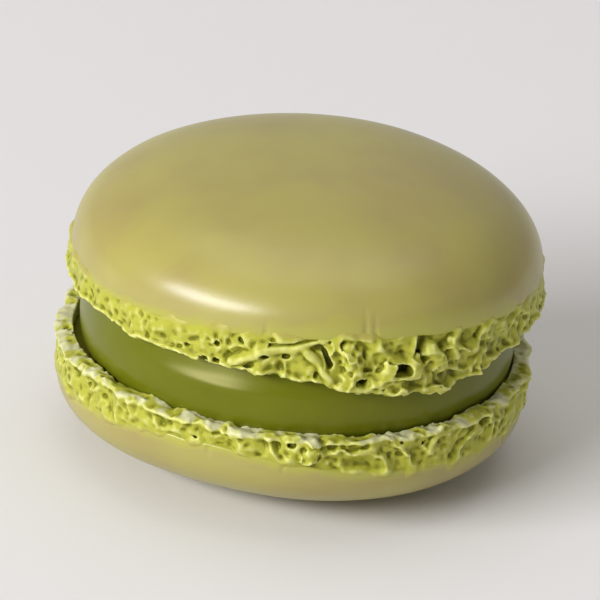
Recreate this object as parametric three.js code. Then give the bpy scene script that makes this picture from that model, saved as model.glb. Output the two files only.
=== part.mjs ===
import * as THREE from 'three';
import { SimplexNoise } from 'three/addons/math/SimplexNoise.js';

// A doll-sized resin copy of a filled french macaron: two shells with crumbly feet and a
// smooth filling between them. Millimetres, +Z up. The origin is on the table under the
// middle of the macaron, and -Y is its front. Directions round Z are in degrees from +X.

// Driving sizes
const DIAMETER = 20; // across the smooth domes
const TOP_HEIGHT = 5; // from the shell's flat inner face to its crown
const BOTTOM_HEIGHT = 4.2; // from its inner face to the flat spot that it rests on
const FILLING_HEIGHT = 3.7;
const FILLING_RADIUS = 9; // against the shells
const REST_RADIUS = 3.6; // of the flat spot under the lower shell
const TOP_SHIFT = 0.15; // how far each shell lies off the filling's axis, along X
const BOTTOM_SHIFT = -0.15;

// A dome's profile is a superellipse: 2 gives an ellipse, more gives fuller shoulders
const FULLNESS_UP = 2.25;
const FULLNESS_OUT = 2.6;
const DOME_ROWS = 8;
const DOME_WAVE = 0.07; // how far the smooth dome strays from its true form
const DOME_WAVE_SIZE = 9;

// A foot is the crumbly collar of a shell. It starts at the dome's edge, which stands off
// the shell's inner face, and ends in a lip that hangs past that face round the filling.
// Each height has a base and swells, or dips, towards one direction, the more narrowly the
// higher the sharpness. Lengths and directions are in the shell's own frame, with its inner
// face down.
const TOP_FOOT = {
  edge: { base: 0.75, swell: 0.8, towards: -75, sharpness: 4 },
  lip: { base: 0.23, swell: 0.92, towards: -58, sharpness: 22 },
};
const BOTTOM_FOOT = {
  edge: { base: 1.3, swell: -0.95, towards: 111, sharpness: 11 },
  lip: { base: 0.5, swell: 0.25, towards: 130, sharpness: 6 },
};
const LIP_RADIUS = 9.6; // inside the lip
// Each row of a foot: its radius, its share of the way up to the dome, and how much of
// the crags it takes
const FOOT_ROWS = [
  { radius: 9.85, share: 0, rough: 0.3 },
  { radius: 10.02, share: 0.1, rough: 0.7 },
  { radius: 10.1, share: 0.3, rough: 1 },
  { radius: 10.12, share: 0.52, rough: 1 },
  { radius: 10.08, share: 0.74, rough: 0.9 },
  { radius: 9.9, share: 0.93, rough: 0.35 },
];
const CRAG_DEPTH = 0.13; // for each millimetre of the foot's height
const CRAG_SIZE = 1.8;
const CRUMB_DEPTH = 0.08;
const CRUMB_SIZE = 0.9;
const RAGGED_DEPTH = 0.22; // of the foot's free edge, up and down
const RAGGED_SIZE = 1.6;
const LUMP_GAIN = 1.7; // brings the noise up to the full range

// The filling's side reaches further out below its middle, most of all on one side
const FILLING_BULGE = { base: 0.3, swell: 0.35, towards: -108, sharpness: 6 };
const FILLING_SAG = 0.75; // 1 puts the bulge halfway up, and less puts it lower
const FILLING_ROWS = 6;
const FILLING_WAVE = 0.05;
const FILLING_WAVE_SIZE = 5;

const SHELL_SEGMENTS = 160;
const FILLING_SEGMENTS = 80;
const SEED = 7;

const SHELL_FINISH = { color: '#bdb267', roughness: 0.32, metalness: 0 };
const FILLING_FINISH = { color: '#7d8230', roughness: 0.22, metalness: 0 };

THREE.MathUtils.seededRandom(SEED);
const noise = new SimplexNoise({ random: () => THREE.MathUtils.seededRandom() });

// Smooth noise between about -1 and 1 at a point given by its angle, radius and height.
// Each layer reads another part of the noise, so that no two pieces look alike.
function wave(angle, radius, height, size, layer) {
  const across = radius / size;
  return noise.noise3d(across * Math.cos(angle), across * Math.sin(angle), height / size + layer);
}

// Rounded lumps with sharp creases between them, from -1 in a crease to 1 on a lump
function lumps(angle, radius, height, size, layer) {
  return 2 * Math.min(1, LUMP_GAIN * Math.abs(wave(angle, radius, height, size, layer))) - 1;
}

function fixedRow(radius, height) {
  return () => ({ radius, height });
}

// A measure that swells or dips towards one direction
function swelling({ base, swell, towards, sharpness }, angle) {
  const facing = (1 + Math.cos(angle - THREE.MathUtils.degToRad(towards))) / 2;
  return base + swell * facing ** sharpness;
}

function footRow(shell, { radius, share, rough }) {
  return (angle) => {
    const edge = swelling(shell.foot.edge, angle);
    const lip = swelling(shell.foot.lip, angle)
      + RAGGED_DEPTH * wave(angle, radius, 0, RAGGED_SIZE, shell.layer);
    const height = THREE.MathUtils.lerp(-lip, edge, share);
    const crags = CRAG_DEPTH * (edge + lip) * lumps(angle, radius, height, CRAG_SIZE, shell.layer);
    const crumbs = CRUMB_DEPTH * lumps(angle, radius, height, CRUMB_SIZE, shell.layer);
    return { radius: radius + rough * (crags + crumbs), height };
  };
}

// A row of the dome, where turn is 0 at the dome's edge and 1 at its crown or flat spot
function domeRow(shell, turn) {
  const flatSlope = Math.asin((shell.restRadius / (DIAMETER / 2)) ** (FULLNESS_OUT / 2));
  const slope = THREE.MathUtils.lerp(Math.PI / 2, flatSlope, turn);
  const radius = DIAMETER / 2 * Math.sin(slope) ** (2 / FULLNESS_OUT);
  const rise = (Math.cos(slope) / Math.cos(flatSlope)) ** (2 / FULLNESS_UP);
  const edgeWave = DOME_WAVE * (1 - turn);
  const wallWave = DOME_WAVE * Math.sin(Math.PI * turn);
  return (angle) => ({
    radius: radius + edgeWave * wave(angle, radius, 0, DOME_WAVE_SIZE, shell.layer),
    height: THREE.MathUtils.lerp(swelling(shell.foot.edge, angle), shell.height, rise)
      + wallWave * wave(angle, radius, shell.height, DOME_WAVE_SIZE, shell.layer),
  });
}

// A closed solid of rings round the Z axis. The first and last rows lie on the axis, and
// each row gives its radius and height at any angle.
function ringSolid(rows, segments) {
  const profile = rows.map((row) => new THREE.Vector2(row(0).radius, row(0).height));
  const geometry = new THREE.LatheGeometry(profile, segments);
  const position = geometry.attributes.position;
  for (let i = 0; i < position.count; i++) {
    const segment = Math.floor(i / rows.length) % segments;
    const angle = 2 * Math.PI * segment / segments;
    const { radius, height } = rows[i % rows.length](angle);
    position.setXYZ(i, radius * Math.cos(angle), radius * Math.sin(angle), height);
  }
  geometry.computeVertexNormals();
  return geometry;
}

// A shell with its flat inner face at z = 0 and its crown above
function shellGeometry(shell) {
  const rows = [fixedRow(0, 0), fixedRow(LIP_RADIUS, 0)];
  for (const row of FOOT_ROWS) {
    rows.push(footRow(shell, row));
  }
  const lastRow = shell.restRadius > 0 ? DOME_ROWS : DOME_ROWS - 1;
  for (let row = 0; row <= lastRow; row++) {
    rows.push(domeRow(shell, row / DOME_ROWS));
  }
  rows.push(fixedRow(0, shell.height));
  return ringSolid(rows, SHELL_SEGMENTS);
}

function fillingRow(share) {
  const height = FILLING_HEIGHT * share;
  const reach = Math.sin(Math.PI * share ** FILLING_SAG);
  return (angle) => ({
    radius: FILLING_RADIUS + reach * swelling(FILLING_BULGE, angle)
      + FILLING_WAVE * wave(angle, FILLING_RADIUS, height, FILLING_WAVE_SIZE, 0),
    height,
  });
}

function fillingGeometry() {
  const rows = [fixedRow(0, 0)];
  for (let row = 0; row <= FILLING_ROWS; row++) {
    rows.push(fillingRow(row / FILLING_ROWS));
  }
  rows.push(fixedRow(0, FILLING_HEIGHT));
  return ringSolid(rows, FILLING_SEGMENTS);
}

function namedMesh(name, geometry, finish) {
  const mesh = new THREE.Mesh(geometry, new THREE.MeshStandardMaterial(finish));
  mesh.name = name;
  return mesh;
}

const topShell = namedMesh('top_shell', shellGeometry({
  height: TOP_HEIGHT, foot: TOP_FOOT, restRadius: 0, layer: 20,
}), SHELL_FINISH);
const filling = namedMesh('filling', fillingGeometry(), FILLING_FINISH);
const bottomShell = namedMesh('bottom_shell', shellGeometry({
  height: BOTTOM_HEIGHT, foot: BOTTOM_FOOT, restRadius: REST_RADIUS, layer: 40,
}), SHELL_FINISH);

// The lower shell is turned over about the X axis, so that its crown is on the table
bottomShell.rotation.x = Math.PI;
bottomShell.position.set(BOTTOM_SHIFT, 0, BOTTOM_HEIGHT);
filling.position.set(0, 0, BOTTOM_HEIGHT);
topShell.position.set(TOP_SHIFT, 0, BOTTOM_HEIGHT + FILLING_HEIGHT);

const macaron = new THREE.Group();
macaron.add(bottomShell, filling, topShell);
export default macaron;
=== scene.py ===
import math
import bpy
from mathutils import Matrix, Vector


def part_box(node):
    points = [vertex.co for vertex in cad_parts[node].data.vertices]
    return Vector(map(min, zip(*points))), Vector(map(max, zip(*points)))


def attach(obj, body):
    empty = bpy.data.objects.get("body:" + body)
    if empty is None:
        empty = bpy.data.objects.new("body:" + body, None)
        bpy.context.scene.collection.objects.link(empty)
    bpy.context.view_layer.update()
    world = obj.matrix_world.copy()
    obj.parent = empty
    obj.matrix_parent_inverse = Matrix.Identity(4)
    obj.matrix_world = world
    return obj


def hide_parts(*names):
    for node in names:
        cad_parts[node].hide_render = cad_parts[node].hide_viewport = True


bl_info = {
    "name": "Toy Macaron",
    "version": (1, 0, 0),
    "blender": (4, 5, 0),
    "location": "View3D > Sidebar > Macaron",
    "description": "Builds a doll-sized macaron of painted resin round its packed frame",
    "category": "Object",
}

from typing import NamedTuple

import bmesh
import bpy
import numpy as np
from bpy.props import FloatProperty, FloatVectorProperty, PointerProperty
from mathutils import Matrix, Vector, noise

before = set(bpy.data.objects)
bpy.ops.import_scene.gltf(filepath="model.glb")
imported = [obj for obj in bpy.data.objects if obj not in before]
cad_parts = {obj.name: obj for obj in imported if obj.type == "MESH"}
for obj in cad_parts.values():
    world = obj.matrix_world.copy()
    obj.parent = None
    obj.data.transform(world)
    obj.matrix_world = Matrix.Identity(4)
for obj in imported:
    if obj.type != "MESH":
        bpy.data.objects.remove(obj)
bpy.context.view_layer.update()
BODY = "root"
MM = 0.001


class Swelling(NamedTuple):
    """A measure that swells, or dips, from its base towards one direction."""

    base: float
    swell: float
    towards: float  # degrees round the shell's own axis, from +X
    sharpness: float

    def direction(self):
        angle = math.radians(self.towards)
        return (math.cos(angle), math.sin(angle), 0.0)

    def at(self, angles):
        facing = (1 + np.cos(angles - math.radians(self.towards))) / 2
        return self.base + self.swell * facing**self.sharpness


class Ramp(NamedTuple):
    """How one measure follows another: what it is where the other is at its low and high."""

    low: float
    high: float
    at_low: float = 0.0
    at_high: float = 1.0

    def of(self, value):
        """The inputs of a Map Range node that gives the measure for a value of the other."""
        return {
            "Value": value, "From Min": self.low, "From Max": self.high,
            "To Min": self.at_low, "To Max": self.at_high,
        }


class Lump(NamedTuple):
    """A clump, flap, groove or hole in a foot, with its own thickness at each end."""

    start: tuple  # angle and height
    end: tuple
    thickness: tuple
    froth: float = 0.0  # 1 for a frothy clump and 0 for a smooth flap


class Shell(NamedTuple):
    """A shell in its own frame: its flat inner face at height 0, its crown above. Lengths are
    in millimetres and angles in degrees."""

    node: str
    height: float
    contact: float  # height of its inner face above the table
    turned_over: bool
    shift: float
    rest_radius: float
    edge: Swelling  # the dome's edge, above the inner face
    lip: Swelling  # the foot's free edge, below the inner face
    torn: Swelling  # how much the foot is torn into clumps, from 0 to 1
    overrun: float  # how far its paint runs up over the dome's edge, as a share of the most
    dry: float  # how much of its free edge has dried pale
    lumps: tuple  # under the froth
    flaps: tuple  # smooth, over the froth
    cuts: tuple  # grooves and holes
    creases: tuple  # angles of the fine creases in the dome's edge, and their lengths
    seed: int

    def place(self):
        turn = Matrix.Rotation(math.pi if self.turned_over else 0, 4, "X")
        return Matrix.Translation((self.shift * MM, 0, self.contact * MM)) @ turn @ Matrix.Scale(MM, 4)


FILLING_LOW, FILLING_HIGH = (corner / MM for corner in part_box("filling"))
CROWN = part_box("top_shell")[1].z / MM
SHELLS = (
    Shell(
        node="top_shell", height=CROWN - FILLING_HIGH.z, contact=FILLING_HIGH.z,
        turned_over=False, shift=0.15, rest_radius=0,
        edge=Swelling(0.75, 0.8, -75, 4), lip=Swelling(0.33, 0.95, -55, 20),
        torn=Swelling(0.0, 1.0, -60, 7), overrun=1.0, dry=0.1,
        lumps=(Lump((-79, -0.35), (-66, -0.65), (0.4, 0.38), 1.0),
               Lump((-77.5, 0.85), (-76.5, -0.3), (0.42, 0.44), 1.0),
               Lump((-67.5, 0.2), (-62, 0.1), (0.44, 0.46), 0.1),
               Lump((-57.5, 0.75), (-54, -0.1), (0.34, 0.36))),
        flaps=(Lump((-105.5, 0.05), (-99, 0.64), (0.22, 0.33)),
               Lump((-99, 0.64), (-86, 1.36), (0.33, 0.12)),
               Lump((-88.5, 0.95), (-82.5, -0.3), (0.18, 0.26)),
               Lump((-61, 0.55), (-61.5, -0.35), (0.13, 0.17)),
               Lump((-51.5, 1.0), (-50, 0.1), (0.13, 0.17))),
        cuts=(Lump((-66.4, 0.15), (-64.2, 0.12), (0.27, 0.24)),
              Lump((-97, 1.0), (-86, 1.5), (0.05, 0.1)),
              Lump((-84.6, 0.95), (-82.4, 0.35), (0.1, 0.17)),
              Lump((-75.6, -0.35), (-74.6, -0.42), (0.16, 0.16)),
              Lump((-104, 1.0), (-103.6, 0.95), (0.11, 0.11)),
              Lump((-118, 0.2), (-117.7, 0.2), (0.11, 0.11)),
              Lump((-93.3, 0.6), (-92.7, 0.6), (0.15, 0.15)),
              Lump((-98.3, 0.46), (-97.7, 0.5), (0.12, 0.12)),
              Lump((-113.8, -0.2), (-112.6, -0.2), (0.11, 0.11)),
              Lump((-110.2, -0.16), (-109.2, -0.15), (0.1, 0.1))),
        creases=((-98.3, 0.7), (-74.6, 1.4), (-72.2, 1.1)), seed=3,
    ),
    Shell(
        node="bottom_shell", height=FILLING_LOW.z, contact=FILLING_LOW.z,
        turned_over=True, shift=-0.15, rest_radius=3.6,
        edge=Swelling(1.3, -0.95, 111, 11), lip=Swelling(0.5, 0.25, 130, 6),
        torn=Swelling(0.25, 0.35, 60, 3), overrun=0.6, dry=1.0,
        lumps=(Lump((84, 0.3), (83, -0.4), (0.3, 0.26), 0.5),),
        flaps=(Lump((53, 0.5), (50, -0.55), (0.2, 0.16)),),
        cuts=(Lump((88.4, -0.3), (87.6, -0.3), (0.13, 0.13)),
              Lump((79, -0.2), (78.2, -0.2), (0.13, 0.13))),
        creases=(), seed=11,
    ),
)

# Lengths here and in the foot's tree are in millimetres.
# A dome's profile is a superellipse: 2 gives an ellipse, more gives fuller shoulders.
FULLNESS_UP = 2.25
FULLNESS_OUT = 2.6
RING_SEGMENTS = 720
RING_ANGLES = np.arange(RING_SEGMENTS) * 2 * math.pi / RING_SEGMENTS
DOME_ROWS = 56
DOME_WAVE_SIZE = 9
FINE_WAVE_SIZE = 3
FINE_WAVE_SHARE = 0.4  # of the dome's wave

FOOT_REACH = 0.75  # how far a foot's relief may stand out
FOOT_SPARE = 0.55  # how far it may stray past its two edges
BACKING = 0.2  # how far a foot reaches into the shell's body

EDGE_WAVE = 0.09  # how far the dome's edge strays up and down
EDGE_WAVE_SIZE = 1.1
RAGGED_RISE = 0.2  # the share of the dome's rise over which the stray edge dies away
CREASE_COUNT = 9  # besides those that a shell names
CREASE_ANGLES = (0, 180)  # degrees
CREASE_LENGTHS = (0.3, 0.9)
CREASE_DEPTH = 0.07
CREASE_HALF_WIDTH = 0.07
OVERRUN = 0.3  # how far the foot's paint runs up over the dome's edge
OVERRUN_TORN = 0.7  # how much further where the foot is torn
RIM_ROWS = 6
CORE_DROP = 2  # rims between the dome's edge and the top of the body behind the foot

FILLING_ROWS = 40
# The filling's side reaches further out below its middle, most of all on one side
FILLING_BULGE = Swelling(0.3, 0.35, -108, 6)
FILLING_SAG = 0.75  # 1 puts the bulge halfway up, and less puts it lower
FILLING_LEDGE = Swelling(0, 0.1, -109, 35)  # a low ledge round part of its front
FILLING_LEDGE_HEIGHT = 6.4
FILLING_LEDGE_WIDTH = 0.33
FILLING_WAVE = 0.05
FILLING_WAVE_SIZE = 4


def linear(hex_colour):
    """An sRGB hex colour as the linear RGBA that Blender's sockets take."""
    channels = (int(hex_colour[i:i + 2], 16) / 255 for i in (1, 3, 5))
    return (*(c / 12.92 if c <= 0.04045 else ((c + 0.055) / 1.055) ** 2.4 for c in channels), 1.0)


def colour_property(name, description, hex_colour):
    return FloatVectorProperty(
        name=name, description=description, subtype="COLOR", size=4, min=0, max=1,
        default=linear(hex_colour),
    )


class MacaronSizes(bpy.types.PropertyGroup):
    dome_radius: FloatProperty(
        name="Dome radius", description="Half the width of a smooth dome",
        default=10 * MM, unit="LENGTH")
    core_radius: FloatProperty(
        name="Core radius", description="Radius of the shell's body behind its foot",
        default=9.6 * MM, unit="LENGTH")
    rim: FloatProperty(
        name="Rim", description="Radius of the dome's rounded lower edge",
        default=0.12 * MM, unit="LENGTH")
    dome_wave: FloatProperty(
        name="Dome wave", description="How far the dome strays from its true form",
        default=0.06 * MM, unit="LENGTH")
    filling_radius: FloatProperty(
        name="Filling radius", description="Radius of the filling against the shells",
        default=9.0 * MM, unit="LENGTH")


class CrumbSizes(bpy.types.PropertyGroup):
    foot_radius: FloatProperty(
        name="Foot radius", description="Radius of a foot before its relief",
        default=10.02 * MM, unit="LENGTH")
    bend: FloatProperty(
        name="Bend", description="How far the foot's forms are bent out of true",
        default=0.6 * MM, unit="LENGTH")
    clump_size: FloatProperty(
        name="Clump size", description="Distance between the clumps where a foot is torn",
        default=1.5 * MM, unit="LENGTH")
    clump_depth: FloatProperty(
        name="Clump depth", description="Depth of the creases between clumps",
        default=0.4 * MM, unit="LENGTH")
    fold_size: FloatProperty(
        name="Fold size", description="Distance between the folds where a foot is torn",
        default=1.3 * MM, unit="LENGTH")
    fold_depth: FloatProperty(
        name="Fold depth", description="Depth of the folds",
        default=0.42 * MM, unit="LENGTH")
    froth_size: FloatProperty(
        name="Froth size", description="Distance between the froth's bubbles",
        default=0.42 * MM, unit="LENGTH")
    froth_depth: FloatProperty(
        name="Froth depth", description="Depth of the froth's bubbles",
        default=0.2 * MM, unit="LENGTH")
    pore_size: FloatProperty(
        name="Pore size", description="Distance between pores",
        default=0.7 * MM, unit="LENGTH")
    pore_depth: FloatProperty(
        name="Pore depth", description="How deep the pores open",
        default=0.25 * MM, unit="LENGTH")
    grain_depth: FloatProperty(
        name="Grain depth", description="Relief of the finest crumbs",
        default=0.1 * MM, unit="LENGTH")
    rim_depth: FloatProperty(
        name="Rim depth", description="How far the rolled rim of the free edge stands out",
        default=0.14 * MM, unit="LENGTH")
    voxel: FloatProperty(
        name="Voxel", description="The finest detail that a foot's mesh can hold",
        default=0.065 * MM, unit="LENGTH")


class MacaronColours(bpy.types.PropertyGroup):
    dome: colour_property("Dome", "Olive paint of the domes", "#aba254")
    dome_blush: colour_property("Dome blush", "Browner patches of the domes", "#a29454")
    foot: colour_property("Foot", "Lime paint of the feet", "#afb03e")
    # Darkens the feet's creases: partly a dark paint wash, partly painted shade
    foot_crease: colour_property("Foot crease", "Dark wash and painted shade in the feet's creases", "#686a0c")
    # Darkens the bottoms of pores and holes: partly a paint wash, partly painted shade
    foot_deep: colour_property("Foot depth", "Wash and painted shade at the bottom of pores and holes", "#2c2d04")
    # Lightens the crests: partly dry-brushed paint, partly a painted highlight
    foot_crest: colour_property("Foot crest", "Pale dry-brushed crests of the crumbs, with painted highlight", "#dadb84")
    foot_dry: colour_property("Dry edge", "Dried free edge of a foot", "#d6d5b4")
    filling: colour_property("Filling", "Green enamel of the filling", "#6b7110")
    filling_gloss: colour_property("Filling gloss", "Tint of the enamel's reflections", "#fff5b4")
    foot_gloss: colour_property("Foot gloss", "Tint of the lime paint's reflections", "#fff8b0")
    floor: colour_property("Floor", "Seamless floor", "#ecebe9")


def add_node(tree, kind, inputs=None, **settings):
    """Adds a node with its settings. Inputs take values, sockets or nodes, by name or number."""
    node = tree.nodes.new(kind)
    for name, value in settings.items():
        setattr(node, name, value)
    for key, value in (inputs or {}).items():
        if isinstance(value, bpy.types.Node):
            value = next(socket for socket in value.outputs if socket.enabled)
        if isinstance(value, bpy.types.NodeSocket):
            tree.links.new(value, node.inputs[key])
        else:
            node.inputs[key].default_value = value
    return node


def link_object(name, mesh):
    piece = bpy.data.objects.new(name, mesh)
    bpy.context.scene.collection.objects.link(piece)
    return piece


def finish_piece(piece, node):
    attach(piece, BODY)
    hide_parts(node)


def ring_points(radii, heights):
    """The points of a ring whose radius and height may change round it."""
    across, away = radii * np.cos(RING_ANGLES), radii * np.sin(RING_ANGLES)
    return np.stack((across, away, heights + 0 * RING_ANGLES), axis=1)


def waves(radii, heights, size, seed):
    """Smooth noise from about -1 to 1 at each point of a ring, for bumps of the given size."""
    points = ring_points(radii, heights + seed * size) / size
    return np.array([noise.noise(Vector(point)) for point in points])


def ring_solid(name, rows):
    """A closed mesh of rings round Z, each a radius and a height at every angle. Its first and
    last rings close on the axis at their mean height."""
    rings = [ring_points(radii, heights) for radii, heights in rows]
    poles = [[0, 0, np.mean(rows[0][1])], [0, 0, np.mean(rows[-1][1])]]
    vertices = np.concatenate([*rings, poles])
    low_pole, high_pole = len(vertices) - 2, len(vertices) - 1
    here = np.arange(RING_SEGMENTS)
    after = (here + 1) % RING_SEGMENTS
    last = (len(rings) - 1) * RING_SEGMENTS
    faces = [(b, a, low_pole) for a, b in zip(here, after)]
    faces += [(last + a, last + b, high_pole) for a, b in zip(here, after)]
    for row in range(len(rings) - 1):
        low, high = row * RING_SEGMENTS, (row + 1) * RING_SEGMENTS
        faces += [(low + a, low + b, high + b, high + a) for a, b in zip(here, after)]
    mesh = bpy.data.meshes.new(name)
    mesh.from_pydata(vertices.tolist(), [], [tuple(int(i) for i in face) for face in faces])
    mesh.shade_smooth()
    return mesh


def dome_creases(shell, radius):
    """The fine creases that run from the foot up into the dome's edge: for each, how fully
    every angle lies in it, and its length."""
    random = np.random.default_rng(shell.seed)
    angles_chosen = random.uniform(*CREASE_ANGLES, CREASE_COUNT)
    lengths_chosen = random.uniform(*CREASE_LENGTHS, CREASE_COUNT)
    for towards, length in (*shell.creases, *zip(angles_chosen, lengths_chosen)):
        away = np.angle(np.exp(1j * (RING_ANGLES - math.radians(towards)))) * radius
        yield np.exp(-(away / CREASE_HALF_WIDTH) ** 2), length


def dome_mesh(shell, sizes):
    """The smooth part of a shell: the flat inner face, the body behind the foot, the rounded
    rim and the dome. It is worked out in the shell's own frame, and then put in its place."""
    radius, core, rim = sizes.dome_radius / MM, sizes.core_radius / MM, sizes.rim / MM
    wave = sizes.dome_wave / MM
    true_edge = shell.edge.at(RING_ANGLES)
    ragged = EDGE_WAVE * waves(radius, 0, EDGE_WAVE_SIZE, shell.seed)
    edge = true_edge + ragged
    creases = list(dome_creases(shell, radius))
    flat = np.zeros(RING_SEGMENTS)
    rows = [(flat + core, flat), (flat + core, edge - CORE_DROP * rim)]
    for turn in np.linspace(-math.pi / 2, 0, RIM_ROWS, endpoint=False):
        rows.append((flat + radius - rim * (1 - math.cos(turn)), edge + rim * math.sin(turn)))
    flat_slope = math.asin((shell.rest_radius / radius) ** (FULLNESS_OUT / 2))
    smallest = 0 if shell.rest_radius else 1
    for row in range(DOME_ROWS, smallest - 1, -1):
        share = 1 - row / DOME_ROWS
        slope = math.pi / 2 + (flat_slope - math.pi / 2) * share
        out = radius * math.sin(slope) ** (2 / FULLNESS_OUT)
        rise = (math.cos(slope) / math.cos(flat_slope)) ** (2 / FULLNESS_UP)
        height = true_edge + (shell.height - true_edge) * rise + ragged * max(0, 1 - rise / RAGGED_RISE)
        height = height + wave * math.sin(math.pi * share) * (
            waves(out, shell.height, DOME_WAVE_SIZE, shell.seed)
            + FINE_WAVE_SHARE * waves(out, shell.height, FINE_WAVE_SIZE, shell.seed))
        groove = flat
        for depth, length in creases:
            groove = groove + depth * np.clip(1 - (height - edge) / length, 0, 1)
        rows.append((out - CREASE_DEPTH * np.minimum(groove, 1), height))
    mesh = ring_solid(shell.node + "_dome", rows)
    overrun = shell.overrun * (OVERRUN + OVERRUN_TORN * shell.torn.at(RING_ANGLES))
    poles = [-1.0, shell.height]  # one lies below the edge, and one far above it
    risen = np.concatenate([*((height - edge) / overrun for _, height in rows), poles])
    mesh.attributes.new("risen", "FLOAT", "POINT").data.foreach_set("value", risen)
    mesh.transform(shell.place())
    return mesh


class MACARON_OT_domes(bpy.types.Operator):
    """Build the smooth lacquered part of each shell"""

    bl_idname = "macaron.domes"
    bl_label = "Build Domes"

    def execute(self, context):
        scene = context.scene
        lacquer = lacquered_dome_material(scene.macaron_colours)
        for shell in SHELLS:
            dome = link_object(shell.node + "_dome", dome_mesh(shell, scene.macaron_sizes))
            dome.data.materials.append(lacquer)
            finish_piece(dome, shell.node)
        return {"FINISHED"}


def swelling_field(tree, direction, size, name):
    """The measure of a swelling at each point, from the tree's inputs of that name."""
    turn = add_node(
        tree, "ShaderNodeVectorMath", {0: direction, 1: size[name + " Towards"]},
        operation="DOT_PRODUCT").outputs["Value"]
    facing = add_node(tree, "ShaderNodeMath", {0: turn, 1: 0.5, 2: 0.5}, operation="MULTIPLY_ADD")
    lobe = add_node(
        tree, "ShaderNodeMath", {0: facing, 1: size[name + " Sharpness"]}, operation="POWER")
    return add_node(
        tree, "ShaderNodeMath",
        {0: lobe, 1: size[name + " Swell"], 2: size[name + " Base"]},
        operation="MULTIPLY_ADD")


SWELLINGS = ("Edge", "Lip", "Torn")
CRUMB_MEASURES = (
    "Foot Radius", "Bend", "Clump Size", "Clump Depth", "Fold Size", "Fold Depth", "Froth Size",
    "Froth Depth", "Pore Size", "Pore Depth", "Grain Depth", "Rim Depth",
)
FOOT_MEASURES = (*CRUMB_MEASURES, "Inner Radius", "Dryness", "Strip Length")
VOXEL_COUNTS = ("Voxels Along", "Voxels Deep", "Voxels Up")
STRIP_RADIUS = 10.0  # where the strip is as long as the ring that it is bent into
OVERLAP = 3  # voxels that the strip runs on past each of its ends
WELD_REACH = 0.002  # points nearer to each other than this are joined
SEED_STEP = 10  # how far apart the feet's places in the noise are, for each whole seed
FADE = 0.3  # how far the foot's relief runs on over the dome's edge
NOISE_MIDDLE = 0.5

# How many bends, patches and grains there are to a millimetre
BENDS = 0.8
FROTH_PATCHES = 0.9
DRY_PATCHES = 1.1
GRAINS = 3.4
# How much of the bend the lumps and the crumb take
LUMP_BEND = 0.4
CRUMB_BEND = 1.6
# Over what width two forms run into each other
LIP_ROUNDING = 0.3
LUMP_BLEND = 0.3
FLAP_BLEND = 0.12
PORE_BLEND = 0.06
CUT_BLEND = 0.08
CUT_FLOOR_BLEND = 0.05
# Where in its cell a clump or a bubble's wall is level with the plain ring
CLUMP_LEVEL = 0.45
FROTH_LEVEL = 0.6
CALM_FROTH = 0.48  # how much of the froth's depth shows where the foot is calm
RIM_HALF_WIDTH = 0.17
CUT_DEPTH = 1.6  # of a groove or hole, for each millimetre of its thickness
HOLLOW_REACH = 8  # how many edges away a point's surroundings reach

# By how far a point lies below the dome's edge
RELIEF = Ramp(-0.1, 0.45)
OFF_THE_DOME = Ramp(-FADE, 0.05)
DEEPEST_CUT = Ramp(0.0, 0.4, 0.04, 0.37)
# By how far it lies above the lip
TORN_OFF_THE_LIP = Ramp(0.0, 0.4, 0.35, 1.0)
DRY_AT_THE_LIP = Ramp(0.32, 0.05)
# By how far it lies inside a lump
COVER = Ramp(-0.2, 0.05)
# By noise, or by the distance from the middle of a fold, a bubble or the rim
FOLD_RISE = Ramp(0.0, 0.16, 0.45, -0.55)
FROTH_WALL = Ramp(0.1, 0.65)
FROTH_PATCH = Ramp(0.42, 0.58, 0.15, 1.0)
DRY_PATCH = Ramp(0.43, 0.57)
PORE_RADIUS = Ramp(0.0, 1.0, -0.7, 0.29)  # there is no pore where it is below 0
RIM_RISE = Ramp(RIM_HALF_WIDTH, 0.0)
# By a share from 0 to 1
TUCK = Ramp(0.0, 1.0, 0.1, 0.0)  # how far the ring stands back, behind the dome and below it
TORN_ON_LUMPS = Ramp(0.0, 1.0, 1.0, 0.2)  # the clumps' relief, off a lump and on it
RIM_SHARE = Ramp(0.0, 1.0, 0.5, 1.0)  # the rim's relief, where the foot is torn and calm
GRAIN_SHARE = Ramp(0.0, 1.0, 1.0, 4.5)  # the crumbs' relief, off a frothy lump and on it
PORE_SHARE = Ramp(0.0, 1.0, 0.08, 1.0)  # the pores' depth, where the foot is calm and torn


def cells(tree, place, size):
    """Cells of the given size round scattered centres."""
    scale = add_node(tree, "ShaderNodeMath", {0: 1.0, 1: size}, operation="DIVIDE")
    return add_node(tree, "ShaderNodeTexVoronoi", {"Vector": place, "Scale": scale})


def on_foot(angle, height):
    """The place on the plain ring that a lump's angle and height give."""
    turn = math.radians(angle)
    return Vector((STRIP_RADIUS * math.cos(turn), STRIP_RADIUS * math.sin(turn), height))


def lump_field(tree, place, lump):
    """How far each point lies inside a lump."""
    start, end = on_foot(*lump.start), on_foot(*lump.end)
    along = end - start
    from_start = add_node(tree, "ShaderNodeVectorMath", {0: place, 1: start}, operation="SUBTRACT")
    projected = add_node(
        tree, "ShaderNodeVectorMath", {0: from_start, 1: along / along.length_squared},
        operation="DOT_PRODUCT").outputs["Value"]
    share = add_node(tree, "ShaderNodeMath", {0: projected, 1: 0.0}, operation="ADD", use_clamp=True)
    reached = add_node(tree, "ShaderNodeVectorMath", {0: along, "Scale": share}, operation="SCALE")
    away = add_node(
        tree, "ShaderNodeVectorMath", {0: from_start, 1: reached}, operation="DISTANCE").outputs["Value"]
    thickness = add_node(tree, "ShaderNodeMapRange", Ramp(0.0, 1.0, *lump.thickness).of(share))
    return add_node(tree, "ShaderNodeMath", {0: thickness, 1: away}, operation="SUBTRACT")


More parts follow.
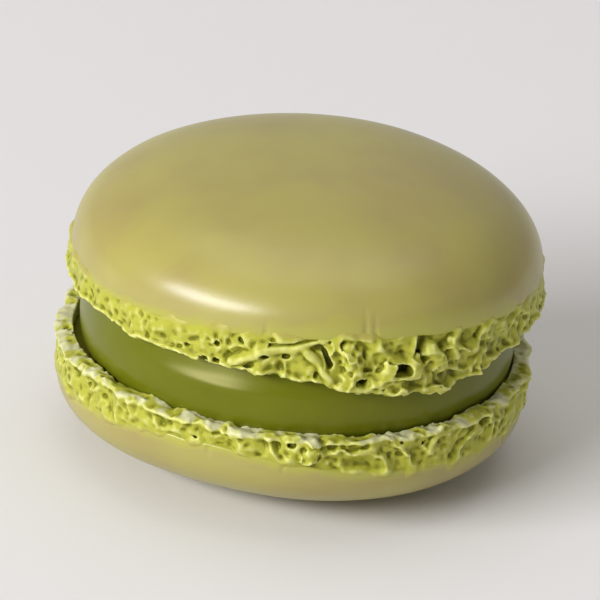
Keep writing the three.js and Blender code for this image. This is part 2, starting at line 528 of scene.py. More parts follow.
def add_foot_inputs(tree):
    """The inputs that give a foot's tree its sizes."""
    sockets = {"Geometry": "NodeSocketGeometry"}
    for name in SWELLINGS:
        sockets[name + " Towards"] = "NodeSocketVector"
        for measure in (" Base", " Swell", " Sharpness"):
            sockets[name + measure] = "NodeSocketFloat"
    sockets |= dict.fromkeys(FOOT_MEASURES, "NodeSocketFloat")
    sockets |= dict.fromkeys(("Lowest", "Highest", "Seed"), "NodeSocketVector")
    sockets |= dict.fromkeys(VOXEL_COUNTS, "NodeSocketInt")
    sockets["Material"] = "NodeSocketMaterial"
    for name, kind in sockets.items():
        tree.interface.new_socket(name=name, in_out="INPUT", socket_type=kind)
    return add_node(tree, "NodeGroupInput").outputs


def with_lumps(tree, ring, place, lumps):
    """The ring with single clumps that swell out of it. Also where they lie, and where they
    are smooth and where frothy, each from 0 to 1."""
    massed, placed, bare, clotted = ring, 0.0, 0.0, 0.0
    for lump in lumps:
        inside = lump_field(tree, place, lump)
        massed = add_node(
            tree, "ShaderNodeMath", {0: massed, 1: inside, 2: LUMP_BLEND}, operation="SMOOTH_MAX")
        covered = add_node(
            tree, "ShaderNodeMapRange", COVER.of(inside), interpolation_type="SMOOTHSTEP")
        placed = add_node(tree, "ShaderNodeMath", {0: placed, 1: covered}, operation="MAXIMUM")
        smoothed = add_node(
            tree, "ShaderNodeMath", {0: covered, 1: 1 - lump.froth}, operation="MULTIPLY")
        bare = add_node(tree, "ShaderNodeMath", {0: bare, 1: smoothed}, operation="MAXIMUM")
        frothing = add_node(tree, "ShaderNodeMath", {0: covered, 1: lump.froth}, operation="MULTIPLY")
        clotted = add_node(tree, "ShaderNodeMath", {0: clotted, 1: frothing}, operation="MAXIMUM")
    return massed, placed, bare, clotted


def with_relief(tree, solid, rise, depth, share):
    """The solid's surface raised by a relief of the given depth, or by a share of it."""
    reach = add_node(tree, "ShaderNodeMath", {0: depth, 1: share}, operation="MULTIPLY")
    return add_node(tree, "ShaderNodeMath", {0: rise, 1: reach, 2: solid}, operation="MULTIPLY_ADD")


def with_clumps(tree, solid, share, place, size):
    """The solid with clumps that have sharp creases between them, and folds across them."""
    clumps = cells(tree, place, size["Clump Size"])
    clump_rise = add_node(
        tree, "ShaderNodeMath", {0: CLUMP_LEVEL, 1: clumps.outputs["Distance"]}, operation="SUBTRACT")
    clumped = with_relief(tree, solid, clump_rise, size["Clump Depth"], share)
    fold_scale = add_node(tree, "ShaderNodeMath", {0: 1.0, 1: size["Fold Size"]}, operation="DIVIDE")
    fold_noise = add_node(
        tree, "ShaderNodeTexNoise",
        {"Vector": place, "Scale": fold_scale, "Detail": 1.0, "Roughness": 0.4})
    from_middle = add_node(
        tree, "ShaderNodeMath", {0: fold_noise.outputs["Fac"], 1: NOISE_MIDDLE}, operation="SUBTRACT")
    off_fold = add_node(tree, "ShaderNodeMath", {0: from_middle}, operation="ABSOLUTE")
    fold_rise = add_node(tree, "ShaderNodeMapRange", FOLD_RISE.of(off_fold))
    return with_relief(tree, clumped, fold_rise, size["Fold Depth"], share)


def froth_share(tree, torn, placed, bare, place):
    """How much of the froth each point takes: it lies all over where the foot is calm, in
    patches where it is torn, and on every lump but the smooth ones."""
    patchy = add_node(
        tree, "ShaderNodeTexNoise", {"Vector": place, "Scale": FROTH_PATCHES, "Detail": 1.0})
    patches = add_node(tree, "ShaderNodeMapRange", FROTH_PATCH.of(patchy.outputs["Fac"]))
    part = add_node(tree, "ShaderNodeMix", {0: torn, 2: CALM_FROTH, 3: patches})
    most = add_node(tree, "ShaderNodeMath", {0: part, 1: placed}, operation="MAXIMUM")
    return add_node(tree, "ShaderNodeMath", {0: most, 1: bare}, operation="SUBTRACT", use_clamp=True)


def with_froth(tree, solid, share, place, size):
    """The solid with small open bubbles that have rounded walls."""
    bubbles = cells(tree, place, size["Froth Size"])
    wall = add_node(
        tree, "ShaderNodeMapRange", FROTH_WALL.of(bubbles.outputs["Distance"]),
        interpolation_type="SMOOTHSTEP")
    rise = add_node(tree, "ShaderNodeMath", {0: wall, 1: FROTH_LEVEL}, operation="SUBTRACT")
    return with_relief(tree, solid, rise, size["Froth Depth"], share)


def with_rim(tree, solid, above_lip, torn, size):
    """The solid with a thin rolled rim along its free edge, which is highest where it is calm."""
    from_rim = add_node(tree, "ShaderNodeMath", {0: above_lip, 1: RIM_HALF_WIDTH}, operation="SUBTRACT")
    off_rim = add_node(tree, "ShaderNodeMath", {0: from_rim}, operation="ABSOLUTE")
    rise = add_node(tree, "ShaderNodeMapRange", RIM_RISE.of(off_rim), interpolation_type="SMOOTHSTEP")
    calm = add_node(tree, "ShaderNodeMath", {0: 1.0, 1: torn}, operation="SUBTRACT")
    share = add_node(tree, "ShaderNodeMapRange", RIM_SHARE.of(calm))
    return with_relief(tree, solid, rise, size["Rim Depth"], share)


def with_grain(tree, solid, relief, clotted, place, size):
    """The solid with the finest crumbs, which are coarser on the frothy lumps."""
    grain = add_node(
        tree, "ShaderNodeTexNoise", {"Vector": place, "Scale": GRAINS, "Detail": 1.5, "Roughness": 0.5})
    rise = add_node(
        tree, "ShaderNodeMath", {0: grain.outputs["Fac"], 1: NOISE_MIDDLE}, operation="SUBTRACT")
    coarse = add_node(tree, "ShaderNodeMapRange", GRAIN_SHARE.of(clotted))
    share = add_node(tree, "ShaderNodeMath", {0: coarse, 1: relief}, operation="MULTIPLY")
    return with_relief(tree, solid, rise, size["Grain Depth"], share)


def with_pores(tree, solid, massed, placed, torn, place, size):
    """The solid with burst bubbles, which are round and of random size, and open deepest where
    it is torn. The lumps have none."""
    share = add_node(tree, "ShaderNodeMapRange", PORE_SHARE.of(torn))
    depth = add_node(tree, "ShaderNodeMath", {0: size["Pore Depth"], 1: share}, operation="MULTIPLY")
    buried = add_node(tree, "ShaderNodeMath", {0: massed, 1: depth}, operation="SUBTRACT")
    too_deep = add_node(tree, "ShaderNodeMath", {0: buried, 1: 0.0}, operation="MAXIMUM")
    spared = add_node(tree, "ShaderNodeMath", {0: placed, 1: too_deep}, operation="ADD")
    centres = cells(tree, place, size["Pore Size"])
    pick = add_node(tree, "ShaderNodeSeparateXYZ", {"Vector": centres.outputs["Color"]}).outputs["X"]
    radius = add_node(tree, "ShaderNodeMapRange", PORE_RADIUS.of(pick))
    outside = add_node(
        tree, "ShaderNodeMath", {0: centres.outputs["Distance"], 1: radius}, operation="SUBTRACT")
    wall = add_node(
        tree, "ShaderNodeMath", {0: outside, 1: size["Pore Size"], 2: spared}, operation="MULTIPLY_ADD")
    return add_node(tree, "ShaderNodeMath", {0: solid, 1: wall, 2: PORE_BLEND}, operation="SMOOTH_MIN")


def with_flaps(tree, solid, place, flaps):
    """The solid with single smooth flaps on it."""
    for flap in flaps:
        inside = lump_field(tree, place, flap)
        solid = add_node(
            tree, "ShaderNodeMath", {0: solid, 1: inside, 2: FLAP_BLEND}, operation="SMOOTH_MAX")
    return solid


def with_cuts(tree, solid, ring, place, cuts):
    """The solid with single grooves and holes cut straight into the ring."""
    for cut in cuts:
        inside = lump_field(tree, place, cut)
        outside = add_node(tree, "ShaderNodeMath", {0: inside, 1: -1.0}, operation="MULTIPLY")
        depth = CUT_DEPTH * max(cut.thickness)
        below_floor = add_node(tree, "ShaderNodeMath", {0: ring, 1: depth}, operation="SUBTRACT")
        kept = add_node(
            tree, "ShaderNodeMath", {0: outside, 1: below_floor, 2: CUT_FLOOR_BLEND},
            operation="SMOOTH_MAX")
        solid = add_node(
            tree, "ShaderNodeMath", {0: solid, 1: kept, 2: CUT_BLEND}, operation="SMOOTH_MIN")
    return solid


def dryness(tree, above_lip, place, size):
    """How far the paint has dried pale: in patches along the free edge."""
    patchy = add_node(
        tree, "ShaderNodeTexNoise", {"Vector": place, "Scale": DRY_PATCHES, "Detail": 2.0})
    patches = add_node(
        tree, "ShaderNodeMapRange", DRY_PATCH.of(patchy.outputs["Fac"]),
        interpolation_type="SMOOTHSTEP")
    near_lip = add_node(
        tree, "ShaderNodeMapRange", DRY_AT_THE_LIP.of(above_lip), interpolation_type="SMOOTHSTEP")
    part = add_node(tree, "ShaderNodeMath", {0: patches, 1: near_lip}, operation="MULTIPLY")
    return add_node(tree, "ShaderNodeMath", {0: part, 1: size["Dryness"]}, operation="MULTIPLY")


def bent_round(tree, mesh, along, position, size):
    """The strip's mesh cut to its length, bent round and welded end to end."""
    before = add_node(tree, "FunctionNodeCompare", {0: along, 1: 0.0}, operation="LESS_THAN")
    after = add_node(
        tree, "FunctionNodeCompare", {0: along, 1: size["Strip Length"]}, operation="GREATER_EQUAL")
    spare = add_node(tree, "FunctionNodeBooleanMath", {0: before, 1: after}, operation="OR")
    trimmed = add_node(
        tree, "GeometryNodeDeleteGeometry", {"Geometry": mesh, "Selection": spare}, domain="FACE")
    round_ring = add_node(tree, "GeometryNodeSetPosition", {"Geometry": trimmed, "Position": position})
    return add_node(
        tree, "GeometryNodeMergeByDistance", {"Geometry": round_ring, "Distance": WELD_REACH})


def largest_island(tree, mesh):
    """The mesh without its loose scraps and sealed bubbles."""
    island = add_node(tree, "GeometryNodeInputMeshIsland")
    island_size = add_node(
        tree, "GeometryNodeAccumulateField",
        {"Value": 1.0, "Group ID": island.outputs["Island Index"]}).outputs["Total"]
    largest = add_node(
        tree, "GeometryNodeAttributeStatistic",
        {"Geometry": mesh, "Attribute": island_size}).outputs["Max"]
    scrap = add_node(tree, "FunctionNodeCompare", {0: island_size, 1: largest}, operation="LESS_THAN")
    return add_node(tree, "GeometryNodeDeleteGeometry", {"Geometry": mesh, "Selection": scrap})


def hollowness(tree):
    """How far each point of a mesh lies below its surroundings."""
    here = add_node(tree, "GeometryNodeInputPosition")
    blurred = add_node(
        tree, "GeometryNodeBlurAttribute", {"Value": here, "Iterations": HOLLOW_REACH},
        data_type="FLOAT_VECTOR")
    offset = add_node(tree, "ShaderNodeVectorMath", {0: blurred, 1: here}, operation="SUBTRACT")
    normal = add_node(tree, "GeometryNodeInputNormal")
    return add_node(
        tree, "ShaderNodeVectorMath", {0: offset, 1: normal}, operation="DOT_PRODUCT").outputs["Value"]


def with_attributes(tree, mesh, fields):
    """The mesh with named fields stored on it for its paint to follow."""
    for name, value in fields.items():
        mesh = add_node(
            tree, "GeometryNodeStoreNamedAttribute", {"Geometry": mesh, "Name": name, "Value": value})
    return mesh


def crumbly_foot_tree(shell):
    """Geometry nodes that make a foot: a ring of torn crumb, froth and pores, as a solid field
    in space that becomes a mesh where the field is zero. The field is sampled on a straight
    strip, which is then bent into the ring. In millimetres."""
    tree = bpy.data.node_groups.new("Crumbly foot of " + shell.node, "GeometryNodeTree")
    size = add_foot_inputs(tree)
    tree.interface.new_socket(name="Geometry", in_out="OUTPUT", socket_type="NodeSocketGeometry")

    # From the straight strip to the place on the ring: along it, inwards and up
    strip = add_node(
        tree, "ShaderNodeSeparateXYZ", {"Vector": add_node(tree, "GeometryNodeInputPosition")})
    along, inwards, up = strip.outputs
    turn = add_node(tree, "ShaderNodeMath", {0: along, 1: STRIP_RADIUS}, operation="DIVIDE")
    distance = add_node(tree, "ShaderNodeMath", {0: STRIP_RADIUS, 1: inwards}, operation="SUBTRACT")
    cosine = add_node(tree, "ShaderNodeMath", {0: turn}, operation="COSINE")
    sine = add_node(tree, "ShaderNodeMath", {0: turn}, operation="SINE")
    across = add_node(tree, "ShaderNodeMath", {0: distance, 1: cosine}, operation="MULTIPLY")
    away = add_node(tree, "ShaderNodeMath", {0: distance, 1: sine}, operation="MULTIPLY")
    position = add_node(tree, "ShaderNodeCombineXYZ", {"X": across, "Y": away, "Z": up})

    # Space is bent before anything is measured in it, so that no form is regular
    seeded = add_node(tree, "ShaderNodeVectorMath", {0: position, 1: size["Seed"]}, operation="ADD")
    bend = add_node(
        tree, "ShaderNodeTexNoise", {"Vector": seeded, "Scale": BENDS, "Detail": 1.5, "Roughness": 0.5})
    centred = add_node(
        tree, "ShaderNodeVectorMath", {0: bend.outputs["Color"], 1: (NOISE_MIDDLE,) * 3},
        operation="SUBTRACT")
    shift = add_node(
        tree, "ShaderNodeVectorMath", {0: centred, "Scale": size["Bend"]}, operation="SCALE")
    bent = add_node(tree, "ShaderNodeVectorMath", {0: shift, 1: position}, operation="ADD")
    lump_place = add_node(
        tree, "ShaderNodeVectorMath", {0: shift, 1: (LUMP_BEND,) * 3, 2: position},
        operation="MULTIPLY_ADD")
    crumb_place = add_node(
        tree, "ShaderNodeVectorMath", {0: shift, 1: (CRUMB_BEND,) * 3, 2: seeded},
        operation="MULTIPLY_ADD")

    # The plain ring: inside the foot's radius and between its two edges
    height = add_node(tree, "ShaderNodeSeparateXYZ", {"Vector": bent}).outputs["Z"]
    level = add_node(tree, "ShaderNodeVectorMath", {0: bent, 1: (1.0, 1.0, 0.0)}, operation="MULTIPLY")
    out = add_node(tree, "ShaderNodeVectorMath", {0: level}, operation="LENGTH").outputs["Value"]
    direction = add_node(tree, "ShaderNodeVectorMath", {0: level}, operation="NORMALIZE")
    edge, lip, torn = (swelling_field(tree, direction, size, name) for name in SWELLINGS)
    above_lip = add_node(tree, "ShaderNodeMath", {0: height, 1: lip}, operation="ADD")
    below_edge = add_node(tree, "ShaderNodeMath", {0: edge, 1: height}, operation="SUBTRACT")
    off_the_dome = add_node(
        tree, "ShaderNodeMapRange", OFF_THE_DOME.of(below_edge), interpolation_type="SMOOTHSTEP")
    tuck = add_node(tree, "ShaderNodeMapRange", TUCK.of(off_the_dome))
    wall = add_node(tree, "ShaderNodeMath", {0: size["Foot Radius"], 1: out}, operation="SUBTRACT")
    tucked = add_node(tree, "ShaderNodeMath", {0: wall, 1: tuck}, operation="SUBTRACT")
    lipped = add_node(
        tree, "ShaderNodeMath", {0: tucked, 1: above_lip, 2: LIP_ROUNDING}, operation="SMOOTH_MIN")
    top = add_node(tree, "ShaderNodeMath", {0: below_edge, 1: FADE}, operation="ADD")
    ring = add_node(tree, "ShaderNodeMath", {0: lipped, 1: top}, operation="MINIMUM")

    # Lumps first, then clumps and folds between them where the foot is torn
    massed, placed, bare, clotted = with_lumps(tree, ring, lump_place, shell.lumps)
    relief = add_node(
        tree, "ShaderNodeMapRange", RELIEF.of(below_edge), interpolation_type="SMOOTHSTEP")
    torn_here = add_node(tree, "ShaderNodeMath", {0: torn, 1: relief}, operation="MULTIPLY")
    off_the_lip = add_node(tree, "ShaderNodeMapRange", TORN_OFF_THE_LIP.of(above_lip))
    torn_part = add_node(tree, "ShaderNodeMath", {0: torn_here, 1: off_the_lip}, operation="MULTIPLY")
    off_the_lumps = add_node(tree, "ShaderNodeMapRange", TORN_ON_LUMPS.of(placed))
    free_part = add_node(tree, "ShaderNodeMath", {0: torn_part, 1: off_the_lumps}, operation="MULTIPLY")
    shaped = with_clumps(tree, massed, free_part, crumb_place, size)

    # Froth, the rolled rim, the finest crumbs and burst bubbles follow
    froth = froth_share(tree, torn, placed, bare, seeded)
    froth_part = add_node(tree, "ShaderNodeMath", {0: froth, 1: relief}, operation="MULTIPLY")
    shaped = with_froth(tree, shaped, froth_part, crumb_place, size)
    shaped = with_rim(tree, shaped, above_lip, torn, size)
    shaped = with_grain(tree, shaped, relief, clotted, seeded, size)
    shaped = with_pores(tree, shaped, massed, placed, torn, crumb_place, size)

    # Flaps, and cuts that are placed on the ring's surface in the lumps' little bent space
    shaped = with_flaps(tree, shaped, bent, shell.flaps)
    lump_height = add_node(tree, "ShaderNodeSeparateXYZ", {"Vector": lump_place}).outputs["Z"]
    upright = add_node(tree, "ShaderNodeCombineXYZ", {"Z": lump_height})
    surface = add_node(
        tree, "ShaderNodeVectorMath", {0: direction, 1: (STRIP_RADIUS,) * 3, 2: upright},
        operation="MULTIPLY_ADD")
    shaped = with_cuts(tree, shaped, ring, surface, shell.cuts)

    # Close to the dome nothing cuts in deep, and the solid ends at the ring's inner radius
    deepest = add_node(tree, "ShaderNodeMapRange", DEEPEST_CUT.of(below_edge))
    backing = add_node(tree, "ShaderNodeMath", {0: ring, 1: deepest}, operation="SUBTRACT")
    backed = add_node(tree, "ShaderNodeMath", {0: shaped, 1: backing}, operation="MAXIMUM")
    inner = add_node(tree, "ShaderNodeMath", {0: distance, 1: size["Inner Radius"]}, operation="SUBTRACT")
    solid = add_node(tree, "ShaderNodeMath", {0: backed, 1: inner}, operation="MINIMUM")
    volume = add_node(
        tree, "GeometryNodeVolumeCube",
        {"Density": solid, "Background": -1.0, "Min": size["Lowest"], "Max": size["Highest"],
         "Resolution X": size["Voxels Along"], "Resolution Y": size["Voxels Deep"],
         "Resolution Z": size["Voxels Up"]})
    mesh = add_node(tree, "GeometryNodeVolumeToMesh", {"Volume": volume, "Threshold": 0.0})

    # The paint follows how deep a point lies inside the plain ring, how far below the dome's
    # edge it is, how dry the foot is there, and how hollow. Depth and hollowness also place
    # painted shade in the pores and creases and a painted highlight on the crests.
    dry = dryness(tree, above_lip, seeded, size)
    strip_fields = {"depth": ring, "below_dome": below_edge, "dry": dry}
    welded = bent_round(tree, with_attributes(tree, mesh, strip_fields), along, position, size)
    whole = largest_island(tree, welded)
    painted = with_attributes(tree, whole, {"hollow": hollowness(tree)})
    smooth = add_node(tree, "GeometryNodeSetShadeSmooth", {"Geometry": painted})
    real = add_node(tree, "GeometryNodeRealizeInstances", {"Geometry": smooth})
    finished = add_node(
        tree, "GeometryNodeSetMaterial", {"Geometry": real, "Material": size["Material"]})
    add_node(tree, "NodeGroupOutput", {"Geometry": finished})
    return tree


FLAT = math.radians(2)  # how far faces may differ that are joined on the wall nobody sees
INNER_WALL_SLACK = 1.001  # how much further out than that wall a point of it may lie


def simplify_inner_wall(mesh, inner_radius):
    """Joins the flat faces of the wall that nobody sees."""
    shape = bmesh.new()
    shape.from_mesh(mesh)
    limit = inner_radius * INNER_WALL_SLACK
    wall = [v for v in shape.verts if math.hypot(v.co.x, v.co.y) < limit]
    edges = [e for e in shape.edges if all(math.hypot(v.co.x, v.co.y) < limit for v in e.verts)]
    bmesh.ops.dissolve_limit(shape, angle_limit=FLAT, verts=wall, edges=edges)
    bmesh.ops.triangulate(shape, faces=[f for f in shape.faces if len(f.verts) > 4])
    shape.to_mesh(mesh)
    shape.free()


def foot_mesh(shell, crumbs, sizes, paint):
    """One foot as a plain mesh in its place."""
    length = 2 * math.pi * STRIP_RADIUS
    along = round(length / (crumbs.voxel / MM))
    voxel = length / along
    inner_radius = sizes.core_radius / MM - BACKING
    deep = round((STRIP_RADIUS + FOOT_REACH - inner_radius) / voxel) + OVERLAP
    low = -shell.lip.at(math.radians(shell.lip.towards)) - FOOT_SPARE
    up = round((max(shell.edge.base, shell.edge.base + shell.edge.swell) + FOOT_SPARE - low) / voxel)
    lowest = Vector((-OVERLAP * voxel, -FOOT_REACH, low))
    steps = (along + 2 * OVERLAP, deep, up)
    values = {name: getattr(crumbs, name.lower().replace(" ", "_")) / MM for name in CRUMB_MEASURES}
    values |= {
        "Inner Radius": inner_radius, "Dryness": shell.dry, "Strip Length": length,
        "Lowest": lowest, "Highest": lowest + Vector(steps) * voxel,
        "Seed": (0, 0, shell.seed * SEED_STEP), "Material": paint,
    }
    for name, count in zip(VOXEL_COUNTS, steps):
        values[name] = count + 1
    for name, swelling in zip(SWELLINGS, (shell.edge, shell.lip, shell.torn)):
        values[name + " Base"] = swelling.base
        values[name + " Swell"] = swelling.swell
        values[name + " Towards"] = swelling.direction()
        values[name + " Sharpness"] = swelling.sharpness
    tree = crumbly_foot_tree(shell)
    carrier = link_object("foot_carrier", bpy.data.meshes.new("foot_carrier"))
    modifier = carrier.modifiers.new("Crumbly foot", "NODES")
    modifier.node_group = tree
    for item in tree.interface.items_tree:
        if item.in_out == "INPUT" and item.name in values:
            modifier[item.identifier] = values[item.name]
    evaluated = carrier.evaluated_get(bpy.context.evaluated_depsgraph_get())
    mesh = bpy.data.meshes.new_from_object(evaluated)
    bpy.data.objects.remove(carrier)
    simplify_inner_wall(mesh, inner_radius)
    mesh.transform(shell.place())
    return mesh


class MACARON_OT_feet(bpy.types.Operator):
    """Build the crumbly foot of each shell"""

    bl_idname = "macaron.feet"
    bl_label = "Build Feet"

    def execute(self, context):
        scene = context.scene
        paint = painted_crumb_material(scene.macaron_colours)
        for shell in SHELLS:
            mesh = foot_mesh(shell, scene.macaron_crumbs, scene.macaron_sizes, paint)
            foot = link_object(shell.node + "_foot", mesh)
            finish_piece(foot, shell.node)
        return {"FINISHED"}


class MACARON_OT_filling(bpy.types.Operator):
    """Build the smooth filling between the shells"""

    bl_idname = "macaron.filling"
    bl_label = "Build Filling"

    def execute(self, context):
        scene = context.scene
        sizes = scene.macaron_sizes
        radius = sizes.filling_radius / MM
        low, high = FILLING_LOW.z, FILLING_HIGH.z
        rows = []
        for share in np.linspace(0, 1, FILLING_ROWS):
            height = low + (high - low) * share
            out = radius + math.sin(math.pi * share**FILLING_SAG) * FILLING_BULGE.at(RING_ANGLES)
            ledge = math.exp(-((height - FILLING_LEDGE_HEIGHT) / FILLING_LEDGE_WIDTH) ** 2)
            out = out + ledge * FILLING_LEDGE.at(RING_ANGLES)
            out = out + FILLING_WAVE * waves(out, height, FILLING_WAVE_SIZE, seed=0)
            rows.append((out, height))
        mesh = ring_solid("filling_body", rows)
        mesh.transform(Matrix.Scale(MM, 4))
        mesh.materials.append(enamelled_filling_material(scene.macaron_colours))
        filling = link_object("filling_body", mesh)
        finish_piece(filling, "filling")
        return {"FINISHED"}


PAINT_IOR = 1.5
# The sizes of the patterns in the paint. The grit is drawn coarser than it is, so that it shows.
BLUSH_SIZE = 5 * MM
SMEAR_SIZE = 1.6 * MM
RIPPLE_SIZE = 1.1 * MM
BLOTCH_SIZE = 0.5 * MM
GRIT_SIZE = 0.12 * MM
FLOW_SIZE = 2.2 * MM
# How deep the relief is that three of them have
RIPPLE_DEPTH = 0.03 * MM
GRIT_DEPTH = 0.02 * MM
FLOW_DEPTH = 0.05 * MM
# By noise
BLUSH = Ramp(0.4, 0.7)
SMEAR_REACH = Ramp(0.35, 0.65, 0.4, 1.4)  # as a share of the foot's overrun there
BLOTCH = Ramp(0.0, 1.0, 0.6, 1.4)  # how strong a coat on a foot is
SMEAR_STRENGTH = 0.85  # how fully the foot's paint covers the dome's at its edge
# The coats on a foot, in the order in which they go on: the attribute that each follows,
# how fully it covers by that, and its colour. The crease and deep coats are dark wash and
# painted shade; the crest coat is dry-brush and painted highlight.
FOOT_COATS = (
    # Dark wash and painted shade in the creases, by how hollow a point lies
    ("hollow", Ramp(0.002, 0.026, 0.0, 0.9), "foot_crease"),
    # Wash and painted shade at the bottom of pores and holes, by depth inside the ring
    ("depth", Ramp(0.14, 0.36, 0.0, 0.95), "foot_deep"),
    # Dry-brush and painted highlight on the crests, where a point stands above its surroundings
    ("hollow", Ramp(-0.008, -0.032, 0.0, 0.8), "foot_crest"),
    ("below_dome", Ramp(0.1, -0.12, 0.0, 1.0), "dome"),
    ("dry", Ramp(0.2, 1.0, 0.0, 0.7), "foot_dry"),
)
DEEP_ENAMEL = 0.75  # how bright the enamel is where it lies deepest


def new_material(name, finish):
    """A material with its node tree and its shader, whose sockets take the finish."""
    material = bpy.data.materials.new(name)
    material.use_nodes = True
    shader = material.node_tree.nodes["Principled BSDF"]
    for socket, value in finish.items():
        shader.inputs[socket].default_value = value
    return material, material.node_tree, shader


def lacquered_dome_material(colours):
    """Olive paint under satin-gloss lacquer on cast resin: an even skin with faint browner
    patches, and a soft bright highlight that the lacquer's slight ripple breaks up. The foot's
    lime paint is smeared a little way up over its edge."""
    material, tree, shader = new_material("satin lacquer over olive paint", {
        "Roughness": 0.31, "IOR": PAINT_IOR, "Specular IOR Level": 0.64,
    })
    place = add_node(tree, "ShaderNodeTexCoord").outputs["Object"]
    patches = add_node(
        tree, "ShaderNodeTexNoise",
        {"Vector": place, "Scale": 1 / BLUSH_SIZE, "Detail": 3.0, "Roughness": 0.5})
    blush = add_node(tree, "ShaderNodeMapRange", BLUSH.of(patches.outputs["Fac"]))
    paint = add_node(
        tree, "ShaderNodeMix", {0: blush, 6: tuple(colours.dome), 7: tuple(colours.dome_blush)},
        data_type="RGBA").outputs[2]
    risen = add_node(tree, "ShaderNodeAttribute", attribute_name="risen").outputs["Fac"]
    smears = add_node(
        tree, "ShaderNodeTexNoise", {"Vector": place, "Scale": 1 / SMEAR_SIZE, "Detail": 3.0})
    reach = add_node(tree, "ShaderNodeMapRange", SMEAR_REACH.of(smears.outputs["Fac"]))
    smeared = add_node(tree, "ShaderNodeMapRange", Ramp(0.0, reach, SMEAR_STRENGTH, 0.0).of(risen))
    edged = add_node(
        tree, "ShaderNodeMix", {0: smeared, 6: paint, 7: tuple(colours.foot)}, data_type="RGBA")
    tree.links.new(edged.outputs[2], shader.inputs["Base Color"])
    ripple = add_node(
        tree, "ShaderNodeTexNoise",
        {"Vector": place, "Scale": 1 / RIPPLE_SIZE, "Detail": 3.0, "Roughness": 0.5})
    bump = add_node(
        tree, "ShaderNodeBump",
        {"Height": ripple.outputs["Fac"], "Distance": RIPPLE_DEPTH, "Strength": 0.5})
    tree.links.new(bump.outputs["Normal"], shader.inputs["Normal"])
    return material


def painted_crumb_material(colours):
    """Lime paint on cast crumb: a dark wash and painted shade sit in the pores and creases, the
    crests are dry-brushed pale and carry a painted highlight, the free edge is dried out in
    places, the dome's own paint runs over onto the foot, and all of it is glossy enough to
    glint. The grit in the paint breaks the glints up."""
    material, tree, shader = new_material("washed lime paint on crumb", {
        "Roughness": 0.38, "IOR": PAINT_IOR, "Specular IOR Level": 0.4,
        "Specular Tint": tuple(colours.foot_gloss),
    })
    place = add_node(tree, "ShaderNodeTexCoord").outputs["Object"]
    blotches = add_node(
        tree, "ShaderNodeTexNoise", {"Vector": place, "Scale": 1 / BLOTCH_SIZE, "Detail": 3.0})
    uneven = add_node(tree, "ShaderNodeMapRange", BLOTCH.of(blotches.outputs["Fac"]))
    paint = tuple(colours.foot)
    for attribute, cover, colour in FOOT_COATS:
        measured = add_node(tree, "ShaderNodeAttribute", attribute_name=attribute).outputs["Fac"]
        covered = add_node(tree, "ShaderNodeMapRange", cover.of(measured))
        patchy = add_node(
            tree, "ShaderNodeMath", {0: covered, 1: uneven}, operation="MULTIPLY", use_clamp=True)
        paint = add_node(
            tree, "ShaderNodeMix", {0: patchy, 6: paint, 7: tuple(getattr(colours, colour))},
            data_type="RGBA").outputs[2]
    tree.links.new(paint, shader.inputs["Base Color"])
    grit = add_node(
        tree, "ShaderNodeTexNoise",
        {"Vector": place, "Scale": 1 / GRIT_SIZE, "Detail": 2.0, "Roughness": 0.6})
    bump = add_node(
        tree, "ShaderNodeBump",
        {"Height": grit.outputs["Fac"], "Distance": GRIT_DEPTH, "Strength": 0.5})
    tree.links.new(bump.outputs["Normal"], shader.inputs["Normal"])
    return material


def enamelled_filling_material(colours):
    """Green gloss enamel: smooth and deep, with a broad soft highlight that the paint's flow
    bends a little."""
    material, tree, shader = new_material("green gloss enamel", {
        "Roughness": 0.29, "IOR": PAINT_IOR, "Specular IOR Level": 0.4,
        "Specular Tint": tuple(colours.filling_gloss),
    })
    place = add_node(tree, "ShaderNodeTexCoord").outputs["Object"]
    flow = add_node(
        tree, "ShaderNodeTexNoise",
        {"Vector": place, "Scale": 1 / FLOW_SIZE, "Detail": 2.0, "Roughness": 0.5})
    deep = (*(channel * DEEP_ENAMEL for channel in colours.filling[:3]), 1.0)
    paint = add_node(
        tree, "ShaderNodeMix", {0: flow.outputs["Fac"], 6: tuple(colours.filling), 7: deep},
        data_type="RGBA")
    tree.links.new(paint.outputs[2], shader.inputs["Base Color"])
    bump = add_node(
        tree, "ShaderNodeBump",
        {"Height": flow.outputs["Fac"], "Distance": FLOW_DEPTH, "Strength": 0.4})
    tree.links.new(bump.outputs["Normal"], shader.inputs["Normal"])
    return material


# The photograph's view of the macaron
VIEW_ELEVATION = math.radians(25)
VIEW_ROLL = math.radians(4.8)
VIEW_DISTANCE = 300 * MM
VIEW_WIDTH = 25.5 * MM  # what the frame takes in, at the macaron
SENSOR_WIDTH = 36
CLIP_START = 0.01
MIDDLE = Vector((0, 0, CROWN * MM / 2))  # of the macaron


def add_camera(scene):
    back = Vector((0, -math.cos(VIEW_ELEVATION), math.sin(VIEW_ELEVATION)))
    level_right = Vector((1, 0, 0))
    level_up = back.cross(level_right)
    right = level_right * math.cos(VIEW_ROLL) + level_up * math.sin(VIEW_ROLL)
    up = level_up * math.cos(VIEW_ROLL) - level_right * math.sin(VIEW_ROLL)
    camera_data = bpy.data.cameras.new("camera")
    camera_data.sensor_width = SENSOR_WIDTH
    camera_data.lens = SENSOR_WIDTH * VIEW_DISTANCE / VIEW_WIDTH
    camera_data.clip_start = CLIP_START
    camera = bpy.data.objects.new("camera", camera_data)
    camera.matrix_world = Matrix.Translation(MIDDLE + back * VIEW_DISTANCE) @ Matrix(
        (right, up, back)).transposed().to_4x4()
    scene.collection.objects.link(camera)
    scene.camera = camera


class Softbox(NamedTuple):
    """A rectangular area light that faces the macaron's middle. In metres and watts."""

    name: str
    direction: tuple  # from the macaron's middle
    distance: float
    width: float
    height: float
    power: float
    colour: str


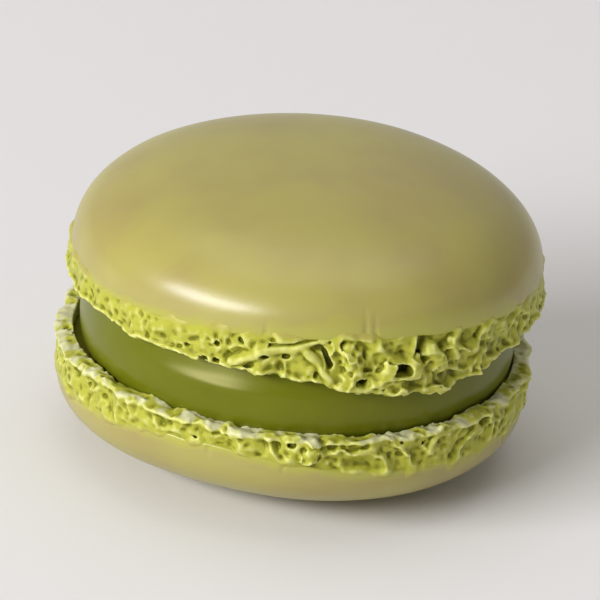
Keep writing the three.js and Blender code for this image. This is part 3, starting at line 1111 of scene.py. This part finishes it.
SOFTBOXES = (
    Softbox(name="key", direction=(-0.69, -0.58, 0.44), distance=0.6, width=0.46, height=0.15,
            power=4.0, colour="#fbfaff"),
    Softbox(name="fill", direction=(0.75, -0.6, 0.5), distance=0.9, width=0.6, height=0.6,
            power=0.12, colour="#fdf6ee"),
    Softbox(name="top", direction=(0.0, 0.2, 1.0), distance=0.9, width=0.9, height=0.7,
            power=2.0, colour="#f7f3f2"),
)
ROOM_COLOUR = "#e8e6e4"
ROOM_LIGHT = 0.35
BACKDROP_ROWS = 24


def add_softbox(scene, softbox):
    light = bpy.data.lights.new(softbox.name, "AREA")
    light.shape = "RECTANGLE"
    light.size, light.size_y = softbox.width, softbox.height
    light.energy = softbox.power
    light.color = linear(softbox.colour)[:3]
    lamp = bpy.data.objects.new(softbox.name, light)
    towards = Vector(softbox.direction).normalized()
    lamp.location = MIDDLE + towards * softbox.distance
    lamp.rotation_euler = towards.to_track_quat("Z", "Y").to_euler()
    scene.collection.objects.link(lamp)


def backdrop_mesh(depth, width, bend, tall):
    """A floor that curves up into a wall behind the macaron."""
    profile = [(-depth, 0.0), (depth - bend, 0.0)]
    for turn in np.linspace(0, math.pi / 2, BACKDROP_ROWS):
        profile.append((depth - bend + bend * math.sin(turn), bend * (1 - math.cos(turn))))
    profile.append((depth, tall))
    vertices = [(side * width / 2, y, z) for y, z in profile for side in (-1, 1)]
    faces = [(2 * i, 2 * i + 1, 2 * i + 3, 2 * i + 2) for i in range(len(profile) - 1)]
    mesh = bpy.data.meshes.new("backdrop")
    mesh.from_pydata(vertices, [], faces)
    mesh.shade_smooth()
    return mesh


class MACARON_OT_stage(bpy.types.Operator):
    """Set the floor, the lights and the camera"""

    bl_idname = "macaron.stage"
    bl_label = "Set Stage"

    def execute(self, context):
        scene = context.scene
        scene.view_settings.view_transform = "Standard"
        sweep = backdrop_mesh(depth=0.9, width=3.0, bend=0.4, tall=1.2)
        backdrop = link_object("backdrop", sweep)
        paper, _, _ = new_material("matt seamless paper", {
            "Base Color": scene.macaron_colours.floor, "Roughness": 0.9,
        })
        backdrop.data.materials.append(paper)
        for softbox in SOFTBOXES:
            add_softbox(scene, softbox)
        room = bpy.data.worlds.new("studio")
        room.use_nodes = True
        background = room.node_tree.nodes["Background"]
        background.inputs["Color"].default_value = linear(ROOM_COLOUR)
        background.inputs["Strength"].default_value = ROOM_LIGHT
        scene.world = room
        add_camera(scene)
        return {"FINISHED"}


STEPS = (MACARON_OT_domes, MACARON_OT_feet, MACARON_OT_filling, MACARON_OT_stage)


class MACARON_PT_panel(bpy.types.Panel):
    """The macaron's sizes, colours and steps"""

    bl_idname = "MACARON_PT_panel"
    bl_label = "Toy Macaron"
    bl_space_type = "VIEW_3D"
    bl_region_type = "UI"
    bl_category = "Macaron"

    def draw(self, context):
        scene = context.scene
        for group in (scene.macaron_sizes, scene.macaron_crumbs, scene.macaron_colours):
            for name in group.__annotations__:
                self.layout.prop(group, name)
        for step in STEPS:
            self.layout.operator(step.bl_idname)


GROUPS = {
    "macaron_sizes": MacaronSizes,
    "macaron_crumbs": CrumbSizes,
    "macaron_colours": MacaronColours,
}


def register():
    for cls in (*GROUPS.values(), *STEPS, MACARON_PT_panel):
        bpy.utils.register_class(cls)
    for name, cls in GROUPS.items():
        setattr(bpy.types.Scene, name, PointerProperty(type=cls))


def unregister():
    for name in GROUPS:
        delattr(bpy.types.Scene, name)
    for cls in reversed((*GROUPS.values(), *STEPS, MACARON_PT_panel)):
        bpy.utils.unregister_class(cls)


def main():
    register()
    bpy.ops.macaron.domes()
    bpy.ops.macaron.feet()
    bpy.ops.macaron.filling()
    bpy.ops.macaron.stage()


if __name__ == "__main__":
    main()
